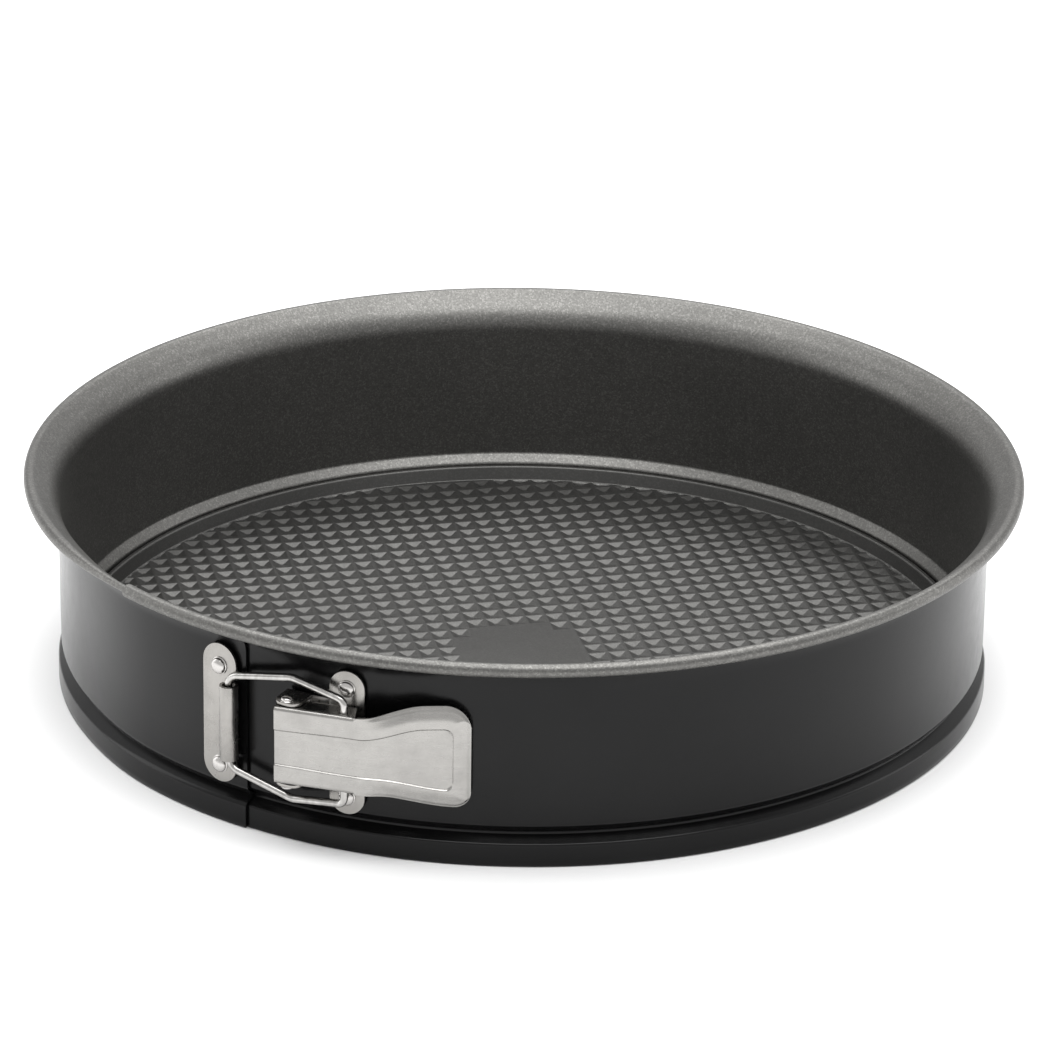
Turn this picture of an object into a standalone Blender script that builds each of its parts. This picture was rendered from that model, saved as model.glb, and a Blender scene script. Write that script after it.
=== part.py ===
"""Springform cake pan: a sprung sheet ring that opens with a lever latch, round a loose base.

Frame: origin on the pan's axis at table level, +Z up, the ring's joint and its latch at -Y.
Lengths below are in millimetres; MM turns them into metres.
"""

import math

import bmesh
import bpy
from mathutils import Matrix, Vector

MM = 0.001

# ---- driving dimensions (mm, degrees) ----
SHEET = 0.6  # ring and base sheet
STEP_DEG = 5.0  # azimuth step of every turned piece

# base: a flat floor with a raised rim that turns down to the table
FLOOR_TOP = 4.7
FLOOR_R = 132.7
RIM_TOP = 9.0
RIM_IN_R = 133.5
RIM_OUT_R = 135.1
SKIRT_R = 138.9
SKIRT_KNEE = 5.7

# ring, radii of the sheet's middle surface
BAND_R = 140.8
BAND_TOP = 5.9
BEAD_R = 136.5
BEAD_Z = 10.6
WALL_FOOT = 14.0
WALL_R0 = 139.6
WALL_R = 139.9
FLARE_Z = 54.0
FLARE_DEG = 50.0
CURL_C = (148.2, 64.4)
CURL_R = 1.5
CURL_END = -100.0

# where the ring is split: three stiff segments stand in for one springy strip
BACK_HALF = 30.0
SPLIT_GAP = 0.08
RIGHT_END = -106.0
LEFT_END = 270.0
LAP_OFFSET = 0.95
LAP_FROM, LAP_TO = 250.0, 253.0
NOTCH_A, NOTCH_B = 253.3, 253.6
LAP_RIM_Z = 61.6

# latch, plan positions of its three upright axes
MID_Z = 34.2
CATCH = (-5.2, -143.75)
PIVOT = (18.8, -146.8)
WIRE_END = (35.2, -142.2)
FLEX_HINGE = (75.25, 130.34)

# catch plate on the strip's outer end
PLATE_T = 0.8
CATCH_AZ = -94.1
CATCH_R = 141.5
CATCH_HALF_W = 6.05
CATCH_Z = (12.9, 55.9)
CATCH_RIVETS = (49.2, 18.4)
CURL_Z = (21.7, 45.2)
CURL_BORE = 1.35

# wire bail
WIRE_R = 1.0
WIRE_AT_CATCH = 14.2
WIRE_SPREAD = 19.2
WIRE_AT_LEVER = 16.6
WIRE_TIP = 12.25
WIRE_KNEE_X = 18.0

# hinge plate on the strip's inner end
HINGE_R = 140.55
HINGE_LEFT_AZ = -84.9
LOBE_AZ = -76.6
LOBE_R = 5.3
LOBE_Z = 16.8
EAR_IN, EAR_OUT = 12.2, 13.0
EAR_HALF = 4.5
EAR_NOSE = 3.4
PLATE_HALF = 12.85

# lever
LEVER_T = 0.9
LEVER_START = (15.8, -151.0)
LEVER_NECK = (40.4, -143.8)
LEVER_TIP = (67.6, -126.6)
CHANNEL_HALF = 11.9
HANDLE_HALF = 15.9
FLANGE_DEPTH = 7.0
HANDLE_RIM = 2.0
TIP_CORNER = 6.5

# rivets
SHANK_R = 1.2
HOLE_R = 1.45
HEAD_R = 2.75
HEAD_H = 1.5


# ---- scene and materials ----
for old in list(bpy.data.objects):
    bpy.data.objects.remove(old, do_unlink=True)


def material(name, colour, roughness, metallic):
    made = bpy.data.materials.new(name)
    made.use_nodes = True
    shader = made.node_tree.nodes["Principled BSDF"]
    shader.inputs["Base Color"].default_value = (*colour, 1.0)
    shader.inputs["Roughness"].default_value = roughness
    shader.inputs["Metallic"].default_value = metallic
    made.diffuse_color = (*colour, 1.0)
    return made


BASE_COAT = material("grey_nonstick_base", (0.12, 0.115, 0.11), 0.42, 0.6)
BACK_COAT = material("black_enamel_back", (0.018, 0.018, 0.019), 0.28, 0.3)
LEFT_COAT = material("black_enamel_left", (0.018, 0.018, 0.019), 0.28, 0.3)
RIGHT_COAT = material("black_enamel_right", (0.018, 0.018, 0.019), 0.28, 0.3)
CATCH_STEEL = material("catch_steel", (0.52, 0.5, 0.47), 0.34, 1.0)
HINGE_STEEL = material("hinge_steel", (0.5, 0.48, 0.46), 0.36, 1.0)
LEVER_STEEL = material("lever_steel", (0.54, 0.52, 0.5), 0.32, 1.0)
WIRE_STEEL = material("wire_steel", (0.62, 0.6, 0.58), 0.2, 1.0)
RIVET_STEEL = material("rivet_steel", (0.58, 0.57, 0.55), 0.24, 1.0)


# ---- mesh helpers ----
def finish(name, bm, coat, origin=(0.0, 0.0, 0.0)):
    """A mesh object from millimetre geometry, its origin at a point in millimetres."""
    centre = Vector(origin)
    for vertex in bm.verts:
        vertex.co = (vertex.co - centre) * MM
    bmesh.ops.recalc_face_normals(bm, faces=bm.faces)
    mesh = bpy.data.meshes.new(name)
    bm.to_mesh(mesh)
    bm.free()
    mesh.materials.append(coat)
    mesh.shade_smooth()
    mesh.set_sharp_from_angle(angle=math.radians(32))
    obj = bpy.data.objects.new(name, mesh)
    obj.location = centre * MM
    bpy.context.scene.collection.objects.link(obj)
    return obj


def loft(loops, caps):
    """A closed body through loops of equal length; caps lists each end's faces by corner."""
    bm = bmesh.new()
    rings = [[bm.verts.new(p) for p in loop] for loop in loops]
    count = len(rings[0])
    for near, far in zip(rings, rings[1:]):
        for i in range(count):
            j = (i + 1) % count
            bm.faces.new((near[i], near[j], far[j], far[i]))
    for ring in (rings[0], rings[-1]):
        for corners in caps:
            bm.faces.new([ring[c] for c in corners])
    return bm


def strip_caps(count):
    """End faces of a folded sheet whose outline is one side up and the other side down."""
    return [(i, i + 1, 2 * count - 2 - i, 2 * count - 1 - i) for i in range(count - 1)]


def offset_line(line, distance):
    """An open plane line moved sideways, to the right of its direction, with mitred corners."""
    out = []
    for i, point in enumerate(line):
        here = Vector(point)
        dirs = []
        if i:
            dirs.append((here - Vector(line[i - 1])).normalized())
        if i + 1 < len(line):
            dirs.append((Vector(line[i + 1]) - here).normalized())
        normals = [Vector((d.y, -d.x)) for d in dirs]
        mean = sum(normals, Vector((0.0, 0.0))).normalized()
        out.append(here + mean * (distance / max(0.5, mean.dot(normals[0]))))
    return out


def polar(radius, degrees, z):
    a = math.radians(degrees)
    return Vector((radius * math.cos(a), radius * math.sin(a), z))


def lathe(profile, steps, matrix=None):
    """A turned body from (radius, height) points that start and end on the axis."""
    bm = bmesh.new()
    rings = []
    for radius, height in profile:
        if radius < 1e-6:
            rings.append([bm.verts.new((0.0, 0.0, height))])
        else:
            rings.append([bm.verts.new(polar(radius, 360.0 * k / steps, height)) for k in range(steps)])
    for near, far in zip(rings, rings[1:]):
        for k in range(steps):
            m = (k + 1) % steps
            corners = [near[k % len(near)], near[m % len(near)], far[m % len(far)], far[k % len(far)]]
            unique = list(dict.fromkeys(corners))
            if len(unique) > 2:
                bm.faces.new(unique)
    if matrix is not None:
        bm.transform(matrix)
    return bm


def prism(outline, low, high, place):
    """A plane outline given thickness; place maps (x, y, height) to the pan's frame."""
    bm = bmesh.new()
    under = [bm.verts.new(place(x, y, low)) for x, y in outline]
    over = [bm.verts.new(place(x, y, high)) for x, y in outline]
    bm.faces.new(under)
    bm.faces.new(over)
    for i in range(len(outline)):
        j = (i + 1) % len(outline)
        bm.faces.new((under[i], under[j], over[j], over[i]))
    return bm


def boolean(obj, other, operation):
    other.hide_render = True
    other.display_type = "WIRE"
    cut = obj.modifiers.new(operation.lower() + "_" + other.name, "BOOLEAN")
    cut.operation = operation
    cut.solver = "EXACT"
    cut.object = other


def radial_frame(azimuth, radius, z):
    """Local +Z points straight out of the wall, +X runs along it, +Y is up."""
    out = polar(1.0, azimuth, 0.0)
    along = Vector((-out.y, out.x, 0.0))
    frame = Matrix.Identity(4)
    for row in range(3):
        frame[row][0] = along[row]
        frame[row][1] = (0.0, 0.0, 1.0)[row]
        frame[row][2] = out[row]
        frame[row][3] = (polar(radius, azimuth, z))[row]
    return frame


def drill(obj, name, radius, matrix, low, high):
    """Cuts a round hole along the matrix's +Z."""
    tool = finish(name, lathe([(0.0, low), (radius, low), (radius, high), (0.0, high)], 16, matrix), RIVET_STEEL)
    boolean(obj, tool, "DIFFERENCE")


# ---- base ----
def base_profile():
    """Closed section from the axis, over the top and back under to the axis."""
    top = [
        (FLOOR_R - 1.0, FLOOR_TOP),
        (FLOOR_R, FLOOR_TOP + 0.25),
        (FLOOR_R + 0.25, FLOOR_TOP + 1.2),
        (RIM_IN_R - 0.1, RIM_TOP - 0.8),
        (RIM_IN_R + 0.4, RIM_TOP),
        (RIM_OUT_R, RIM_TOP),
        (RIM_OUT_R + 0.6, RIM_TOP - 0.35),
        (SKIRT_R - 0.75, SKIRT_KNEE + 0.35),
        (SKIRT_R - 0.1, SKIRT_KNEE - 0.6),
        (SKIRT_R, 0.0),
    ]
    middle = [Vector(p) for p in top]
    under = offset_line(middle, SHEET)
    under[-1].y = 0.0
    under[0] = Vector((FLOOR_R - 1.0, FLOOR_TOP - SHEET))
    return [(0.0, FLOOR_TOP), *[tuple(p) for p in middle], *[tuple(p) for p in reversed(under)], (0.0, FLOOR_TOP - SHEET)]


base_plate = finish("base_plate", lathe(base_profile(), int(360 / STEP_DEG)), BASE_COAT)


# ---- ring ----
def ring_line(rim=True):
    """Middle line of the ring's sheet from its foot to the end of its rolled lip."""
    line = [
        (BAND_R, 0.0),
        (BAND_R - 0.05, BAND_TOP - 0.6),
        (BAND_R - 0.6, BAND_TOP + 0.45),
        (BEAD_R + 0.9, BEAD_Z - 1.1),
        (BEAD_R, BEAD_Z),
        (BEAD_R + 0.9, BEAD_Z + 1.1),
        (WALL_R0 - 0.5, WALL_FOOT - 0.9),
        (WALL_R0, WALL_FOOT),
        (WALL_R0 + 0.15, 34.0),
        (WALL_R, FLARE_Z),
    ]
    a = math.radians(FLARE_DEG)
    meet = Vector((CURL_C[0] - CURL_R * math.cos(a), CURL_C[1] + CURL_R * math.sin(a)))
    rise, run = meet.y - FLARE_Z, meet.x - WALL_R
    # arc of radius rho, then a straight run of length s, reach the curl at its tangent
    one = 1.0 - math.cos(a)
    rho = (rise * math.sin(a) - run * math.cos(a)) / (math.sin(a) ** 2 - one * math.cos(a))
    flare = [
        (WALL_R + rho * (1.0 - math.cos(a * k / 4)), FLARE_Z + rho * math.sin(a * k / 4))
        for k in (1, 2, 3, 4)
    ]
    line += flare
    if not rim:
        last, out = Vector(flare[-1]), Vector((math.sin(a), math.cos(a)))
        reach = (LAP_RIM_Z - last.y) / out.y
        if reach < 0.0:
            line = [p for p in line if p[1] < LAP_RIM_Z - 0.6]
            back = Vector(line[-1])
            here = Vector(next(p for p in flare if p[1] >= LAP_RIM_Z - 0.6))
            line.append(tuple(back.lerp(here, (LAP_RIM_Z - back.y) / (here.y - back.y))))
        else:
            line.append(tuple(last + out * reach))
        return line
    start = 180.0 - FLARE_DEG
    turns = 8
    for k in range(turns + 1):
        b = math.radians(start + (CURL_END - start) * k / turns)
        line.append((CURL_C[0] + CURL_R * math.cos(b), CURL_C[1] + CURL_R * math.sin(b)))
    return line


FULL = [Vector(p) for p in ring_line()]
SHORT = [Vector(p) for p in ring_line(rim=False)]
while len(SHORT) < len(FULL):
    # spare points along the short line's last stretch keep the two lines matched
    a, b = SHORT[-2], SHORT[-1]
    SHORT.insert(len(SHORT) - 1, a.lerp(b, 1.0 / (len(FULL) - len(SHORT) + 2)))


def section(azimuth, line, shift):
    outside = offset_line(line, shift + SHEET / 2)
    inside = offset_line(line, shift - SHEET / 2)
    outside[0].y = inside[0].y = 0.0
    return [polar(p.x, azimuth, p.y) for p in outside] + [polar(p.x, azimuth, p.y) for p in reversed(inside)]


def steps_between(low, high):
    first = math.ceil(low / STEP_DEG + 0.2)
    last = math.floor(high / STEP_DEG - 0.2)
    return [low, *[STEP_DEG * k for k in range(first, last + 1)], high]


def ring_part(name, azimuths, coat, origin, describe):
    loops = [section(a, *describe(a)) for a in azimuths]
    return finish(name, loft(loops, strip_caps(len(FULL))), coat, origin)


def plain(azimuth):
    return FULL, 0.0


def lapped(azimuth):
    share = min(1.0, max(0.0, (azimuth - LAP_FROM) / (LAP_TO - LAP_FROM)))
    return (FULL if azimuth <= NOTCH_A + 1e-6 else SHORT), LAP_OFFSET * share


band_back = ring_part(
    "band_back",
    steps_between(90 - BACK_HALF + SPLIT_GAP, 90 + BACK_HALF - SPLIT_GAP),
    BACK_COAT,
    (0.0, 0.0, 0.0),
    plain,
)
left_azimuths = steps_between(90 + BACK_HALF + SPLIT_GAP, LEFT_END)
left_azimuths = sorted({a for a in left_azimuths if not LAP_FROM < a < NOTCH_B} | {LAP_FROM, LAP_TO, NOTCH_A, NOTCH_B})
band_left = ring_part("band_left", left_azimuths, LEFT_COAT, (-FLEX_HINGE[0], FLEX_HINGE[1], MID_Z), lapped)
band_right = ring_part(
    "band_right",
    steps_between(RIGHT_END, 90 - BACK_HALF - SPLIT_GAP),
    RIGHT_COAT,
    (FLEX_HINGE[0], FLEX_HINGE[1], MID_Z),
    plain,
)


# ---- catch plate ----
def stadium_with_notch():
    """Outline of the catch plate, (along, up) from its middle, notched for the rolled tongue."""
    half_h = (CATCH_Z[1] - CATCH_Z[0]) / 2
    mid = (CATCH_Z[0] + CATCH_Z[1]) / 2
    r = CATCH_HALF_W
    points = []
    for k in range(9):
        b = math.pi * k / 8
        points.append((r * math.cos(b), half_h - r + r * math.sin(b)))
    for k in range(9):
        b = math.pi + math.pi * k / 8
        points.append((r * math.cos(b), -half_h + r + r * math.sin(b)))
    low, high = CURL_Z[0] - 0.9 - mid, CURL_Z[1] + 0.9 - mid
    points += [(r, low), (2.7, low), (2.7, high), (r, high)]
    return points


def on_catch(frame):
    return lambda x, y, h: frame @ Vector((x, y, h))


catch_mid = (CATCH_Z[0] + CATCH_Z[1]) / 2
catch_frame = radial_frame(CATCH_AZ, CATCH_R, catch_mid)
catch_plate = finish(
    "catch_plate",
    prism(stadium_with_notch(), 0.0, PLATE_T, on_catch(catch_frame)),
    CATCH_STEEL,
)
centre = catch_frame.inverted() @ Vector((CATCH[0], CATCH[1], catch_mid))
tongue_t = PLATE_T - 0.1
roll_r = CURL_BORE + tongue_t / 2
tongue = [(1.0, PLATE_T / 2), (centre.x - 0.9, PLATE_T / 2)]
start = -math.pi / 2
for k in range(1, 14):
    b = start + math.radians(285.0) * k / 13
    tongue.append((centre.x + roll_r * math.cos(b), centre.z + roll_r * math.sin(b)))
tongue[1] = (centre.x - 0.2, PLATE_T / 2)
tongue = [Vector(p) for p in tongue]
edge_a, edge_b = offset_line(tongue, tongue_t / 2), offset_line(tongue, -tongue_t / 2)
loops = [
    [catch_frame @ Vector((p.x, z - catch_mid, p.y)) for p in edge_a + edge_b[::-1]]
    for z in (CURL_Z[0], (CURL_Z[0] + CURL_Z[1]) / 2, CURL_Z[1])
]
tongue_roll = finish("tongue_roll", loft(loops, strip_caps(len(tongue))), CATCH_STEEL)
boolean(catch_plate, tongue_roll, "UNION")


# ---- wire bail ----
def rounded(points, radius, pieces):
    """Points of a line with each inner corner turned into an arc."""
    out = [Vector(points[0])]
    for before, here, after in zip(points, points[1:], points[2:]):
        before, here, after = Vector(before), Vector(here), Vector(after)
        u, v = (before - here).normalized(), (after - here).normalized()
        half = u.angle(v) / 2
        reach = min(radius / math.tan(half), 0.45 * (before - here).length, 0.45 * (after - here).length)
        a, b = here + u * reach, here + v * reach
        for k in range(pieces + 1):
            t = k / pieces
            out.append((1 - t) ** 2 * a + 2 * t * (1 - t) * here + t * t * b)
    out.append(Vector(points[-1]))
    return out


share = (WIRE_KNEE_X - CATCH[0]) / (WIRE_END[0] - CATCH[0])
knee = (WIRE_KNEE_X, CATCH[1] + share * (WIRE_END[1] - CATCH[1]))
route = rounded(
    [
        (*WIRE_END, MID_Z - WIRE_TIP),
        (*WIRE_END, MID_Z - WIRE_AT_LEVER),
        (*knee, MID_Z - WIRE_SPREAD),
        (*CATCH, MID_Z - WIRE_AT_CATCH),
        (*CATCH, MID_Z + WIRE_AT_CATCH),
        (*knee, MID_Z + WIRE_SPREAD),
        (*WIRE_END, MID_Z + WIRE_AT_LEVER),
        (*WIRE_END, MID_Z + WIRE_TIP),
    ],
    2.4,
    5,
)
curve = bpy.data.curves.new("wire_bail", "CURVE")
curve.dimensions = "3D"
curve.bevel_depth = WIRE_R * MM
curve.bevel_resolution = 3
curve.use_fill_caps = True
spline = curve.splines.new("POLY")
spline.points.add(len(route) - 1)
for point, co in zip(spline.points, route):
    point.co = (*((co - Vector((*CATCH, MID_Z))) * MM), 1.0)
curve.materials.append(WIRE_STEEL)
wire_bail = bpy.data.objects.new("wire_bail", curve)
wire_bail.location = Vector((*CATCH, MID_Z)) * MM
bpy.context.scene.collection.objects.link(wire_bail)


# ---- hinge plate ----
def hinge_half_height(azimuth):
    """Half height of the plate at an azimuth: a body with a round-ended tab each way."""
    s = math.radians(azimuth - LOBE_AZ) * HINGE_R
    if abs(s) < LOBE_R - 1e-6:
        return LOBE_Z + math.sqrt(LOBE_R**2 - s * s)
    return LOBE_Z if abs(s) < LOBE_R + 1e-6 else PLATE_HALF


def hinge_stations():
    per_deg = math.radians(1.0) * HINGE_R
    left = [HINGE_LEFT_AZ + (LOBE_AZ - LOBE_R / per_deg - 0.06 - HINGE_LEFT_AZ) * k / 3 for k in range(4)]
    tab = [LOBE_AZ - LOBE_R / per_deg * math.cos(math.pi * k / 12) for k in range(13)]
    return left + tab


loops = []
for a in hinge_stations():
    h = hinge_half_height(a)
    loops.append(
        [
            polar(HINGE_R + PLATE_T, a, MID_Z + h),
            polar(HINGE_R + PLATE_T, a, MID_Z - h),
            polar(HINGE_R, a, MID_Z - h),
            polar(HINGE_R, a, MID_Z + h),
        ]
    )
hinge_plate = finish("hinge_plate", loft(loops, [(0, 1, 2, 3)]), HINGE_STEEL)

pivot_az = math.degrees(math.atan2(PIVOT[1], PIVOT[0]))
pivot_out = Vector(PIVOT).normalized()
pivot_along = Vector((-pivot_out.y, pivot_out.x))
pivot_radius = Vector(PIVOT).length


def ear_outline():
    """The ear in plan, (along, out) from the pivot, with a rounded nose."""
    root = HINGE_R + 0.35 - pivot_radius
    r = 3.0
    points = [(-EAR_HALF, root), (EAR_HALF, root)]
    for k in range(6):
        b = math.pi / 2 * k / 5
        points.append((EAR_HALF - r + r * math.cos(b), EAR_NOSE - r + r * math.sin(b)))
    for k in range(6):
        b = math.pi / 2 + math.pi / 2 * k / 5
        points.append((-EAR_HALF + r + r * math.cos(b), EAR_NOSE - r + r * math.sin(b)))
    return points


def on_ear(x, y, z):
    p = Vector(PIVOT) + pivot_along * x + pivot_out * y
    return Vector((p.x, p.y, MID_Z + z))


for side, low, high in (("upper", EAR_IN, EAR_OUT), ("lower", -EAR_OUT, -EAR_IN)):
    ear = finish("ear_" + side, prism(ear_outline(), low, high, on_ear), HINGE_STEEL)
    boolean(hinge_plate, ear, "UNION")


# ---- lever ----
def lever_line(count=14):
    """Plan line of the lever's outer face: a straight channel, then a handle that follows the wall."""
    start, neck, tip = Vector(LEVER_START), Vector(LEVER_NECK), Vector(LEVER_TIP)
    length = (neck - start).length
    along = (neck - start) / length
    line = [start + along * s for s in (0.0, 1.2, 5.0, 11.0, 17.0, 20.5, 22.0, 23.4)]
    reach = (tip - neck).length
    t_a, t_b = along * reach, Vector((0.895, 0.446)).normalized() * reach
    for k in range(count + 1):
        t = k / count
        line.append(
            (2 * t**3 - 3 * t**2 + 1) * neck
            + (t**3 - 2 * t**2 + t) * t_a
            + (-2 * t**3 + 3 * t**2) * tip
            + (t**3 - t**2) * t_b
        )
    return line


def ease(t):
    t = min(1.0, max(0.0, t))
    return t * t * (3 - 2 * t)


plan = lever_line()
run = [0.0]
for a, b in zip(plan, plan[1:]):
    run.append(run[-1] + (b - a).length)
total = run[-1]
inner = offset_line(plan, -1.0)
loops = []
for point, unit, s in zip(plan, inner, run):
    inward = (unit - point).normalized()
    half = CHANNEL_HALF + (HANDLE_HALF - CHANNEL_HALF) * ease((s - 26.0) / 17.0)
    half -= 2.6 * ease((s - 44.0) / (total - 44.0))
    over = s - (total - TIP_CORNER)
    if over > 0.0:
        half -= TIP_CORNER - math.sqrt(max(0.0, TIP_CORNER**2 - over * over))
    deep = HANDLE_RIM + (FLANGE_DEPTH - HANDLE_RIM) * (1.0 - ease((s - 19.5) / 5.0))
    if over > 0.0:
        deep = max(LEVER_T + 0.35, deep - 0.6 * over / TIP_CORNER)
    deep *= 0.86 if s < 0.6 else 1.0

    def at(depth, height):
        p = point + inward * depth
        return Vector((p.x, p.y, MID_Z + height))

    loops.append(
        [
            at(0.0, half),
            at(0.0, -half),
            at(deep, -half),
            at(deep, -half + LEVER_T),
            at(LEVER_T, -half + LEVER_T),
            at(LEVER_T, half - LEVER_T),
            at(deep, half - LEVER_T),
            at(deep, half),
        ]
    )
lever = finish(
    "lever",
    loft(loops, [(0, 1, 4, 5), (1, 2, 3, 4), (0, 5, 6, 7)]),
    LEVER_STEEL,
    (*PIVOT, MID_Z),
)


# ---- rivets ----
def domed_rivet(head_r, head_h, shank_r, grip, foot_r, foot_h, gap=0.25):
    """Head above height 0, shank down through the grip, and an optional flat foot."""
    profile = [(0.0, head_h + gap)]
    for k in range(1, 6):
        b = math.pi / 2 * k / 5
        profile.append((head_r * math.sin(b), gap + 0.25 + (head_h - 0.25) * math.cos(b)))
    profile += [(head_r, gap), (shank_r, gap)]
    if foot_r:
        profile += [(shank_r, -grip), (foot_r, -grip), (foot_r, -grip - foot_h + 0.1), (foot_r - 0.15, -grip - foot_h), (0.0, -grip - foot_h)]
    else:
        profile += [(shank_r, -grip), (0.0, -grip)]
    return profile


for side, z in zip(("upper", "lower"), CATCH_RIVETS):
    spot = radial_frame(CATCH_AZ, CATCH_R + PLATE_T, z)
    grip = CATCH_R + PLATE_T - (WALL_R0 + LAP_OFFSET - SHEET / 2 + 0.15)
    finish("catch_rivet_" + side, lathe(domed_rivet(HEAD_R, HEAD_H, SHANK_R, grip, 0.0, 0.0), 20, spot), RIVET_STEEL)
    drill(catch_plate, "catch_hole_" + side, HOLE_R, spot, -3.0, 3.0)
    drill(band_left, "left_hole_" + side, HOLE_R, spot, -4.0, 3.0)

for side, z in (("upper", MID_Z + LOBE_Z), ("lower", MID_Z - LOBE_Z)):
    spot = radial_frame(LOBE_AZ, HINGE_R + PLATE_T, z)
    grip = HINGE_R + PLATE_T - (WALL_R0 - SHEET / 2 - 0.25)
    finish("hinge_plate_rivet_" + side, lathe(domed_rivet(2.3, 1.2, SHANK_R, grip, 2.2, 0.5), 20, spot), RIVET_STEEL)
    drill(hinge_plate, "plate_hole_" + side, HOLE_R, spot, -3.0, 3.0)
    drill(band_right, "right_hole_" + side, HOLE_R, spot, -4.0, 3.0)

for side, sign in (("upper", 1.0), ("lower", -1.0)):
    up = Matrix.Identity(4)
    if sign < 0:
        up = Matrix.Rotation(math.pi, 4, "X")
    spot = Matrix.Translation(Vector((*PIVOT, MID_Z + sign * EAR_OUT))) @ up
    grip = EAR_OUT - (CHANNEL_HALF - LEVER_T) + 0.25
    finish("pivot_rivet_" + side, lathe(domed_rivet(2.45, 1.3, 1.1, grip, 1.9, 0.6), 20, spot), RIVET_STEEL)
    drill(hinge_plate, "ear_hole_" + side, 1.35, spot, -1.05, 1.0)
    drill(lever, "pivot_hole_" + side, 1.35, spot, -2.6, -0.95)
    end = Matrix.Translation(Vector((*WIRE_END, MID_Z + sign * EAR_OUT))) @ up
    drill(lever, "wire_hole_" + side, 1.3, end, -2.6, -0.95)


# ---- joint axes ----
def joint_axis(name, x, y, pieces):
    """An upright axis: the pieces that turn about it hang under this empty."""
    empty = bpy.data.objects.new(name, None)
    empty.empty_display_type = "SINGLE_ARROW"
    empty.empty_display_size = 0.02
    empty.location = (x * MM, y * MM, MID_Z * MM)
    bpy.context.scene.collection.objects.link(empty)
    bpy.context.view_layer.update()
    for piece in pieces:
        piece.parent = empty
        piece.matrix_parent_inverse = empty.matrix_world.inverted()
    return empty


left_axis = joint_axis("left_flex_axis", -FLEX_HINGE[0], FLEX_HINGE[1], [band_left, catch_plate])
right_axis = joint_axis("right_flex_axis", FLEX_HINGE[0], FLEX_HINGE[1], [band_right, hinge_plate])
joint_axis("lever_axis", *PIVOT, [lever]).parent = None
joint_axis("wire_axis", *CATCH, [wire_bail])
for obj in bpy.data.objects:
    if obj.parent is None and obj.name.startswith("catch_rivet"):
        obj.parent = left_axis
        obj.matrix_parent_inverse = left_axis.matrix_world.inverted()
    if obj.parent is None and obj.name.startswith(("hinge_plate_rivet", "pivot_rivet")):
        obj.parent = right_axis
        obj.matrix_parent_inverse = right_axis.matrix_world.inverted()
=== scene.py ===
"""Looks of the springform pan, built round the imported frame. Lengths are in millimetres until MM turns them into metres."""

import math

import bmesh
import bpy
from mathutils import Matrix, Vector


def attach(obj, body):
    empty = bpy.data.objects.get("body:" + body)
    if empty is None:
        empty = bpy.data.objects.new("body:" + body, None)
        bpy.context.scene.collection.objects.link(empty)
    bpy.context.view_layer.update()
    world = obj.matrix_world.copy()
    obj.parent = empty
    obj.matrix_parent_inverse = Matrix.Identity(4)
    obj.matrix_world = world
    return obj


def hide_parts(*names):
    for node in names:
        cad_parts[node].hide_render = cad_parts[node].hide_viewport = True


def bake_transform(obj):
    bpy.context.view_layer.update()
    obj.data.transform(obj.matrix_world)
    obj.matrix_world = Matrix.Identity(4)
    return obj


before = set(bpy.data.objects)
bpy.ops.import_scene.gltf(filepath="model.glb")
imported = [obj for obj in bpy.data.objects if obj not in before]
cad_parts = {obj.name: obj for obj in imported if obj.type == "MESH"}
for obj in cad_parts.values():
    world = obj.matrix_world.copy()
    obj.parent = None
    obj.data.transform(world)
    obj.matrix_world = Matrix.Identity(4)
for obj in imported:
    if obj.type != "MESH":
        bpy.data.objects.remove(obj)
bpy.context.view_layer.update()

MM = 0.001
SHEET = 0.6
MID_Z = 34.2
CATCH = (-3.9, -143.9)
PIVOT = (18.8, -146.8)
WIRE_END = (35.2, -142.2)
CATCH_AZ, CATCH_R = -93.4, 141.5
PLATE_T = 0.8
HINGE_R, LOBE_AZ, LOBE_R, LOBE_Z = 140.55, -76.6, 5.3, 16.8


# ------------------------------------------------------------------ camera
def make_camera():
    """The viewpoint: distance, elevation, aim height and roll about the pan."""
    turn = math.radians(33.7)
    distance, elevation, roll = 1.85142, math.radians(24.2116), 0.013244
    aim = Vector((0.000066, 0.0, 0.045716))
    place = Vector((0.0, -distance * math.cos(elevation), distance * math.sin(elevation)))
    ahead = (aim - place).normalized()
    right = ahead.cross(Vector((0, 0, 1))).normalized()
    up = right.cross(ahead)
    right, up = (
        right * math.cos(roll) + up * math.sin(roll),
        up * math.cos(roll) - right * math.sin(roll),
    )
    spin = Matrix.Rotation(turn, 4, "Z")
    matrix = Matrix.Identity(4)
    for row in range(3):
        matrix[row][0], matrix[row][1], matrix[row][2] = right[row], up[row], -ahead[row]
        matrix[row][3] = place[row] + 0.00038 * right[row]
    data = bpy.data.cameras.new("camera")
    data.sensor_width = 36.0
    data.lens = 208.36
    data.clip_start, data.clip_end = 0.05, 60.0
    camera = bpy.data.objects.new("camera", data)
    camera.matrix_world = spin @ matrix
    bpy.context.scene.collection.objects.link(camera)
    bpy.context.scene.camera = camera


make_camera()


# ------------------------------------------------------------------ materials
def new_material(name):
    mat = bpy.data.materials.new(name)
    mat.use_nodes = True
    tree = mat.node_tree
    return mat, tree, tree.nodes["Principled BSDF"]


def node(tree, kind, **values):
    made = tree.nodes.new(kind)
    for key, value in values.items():
        if key in made.inputs:
            made.inputs[key].default_value = value
        else:
            setattr(made, key, value)
    return made


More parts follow.
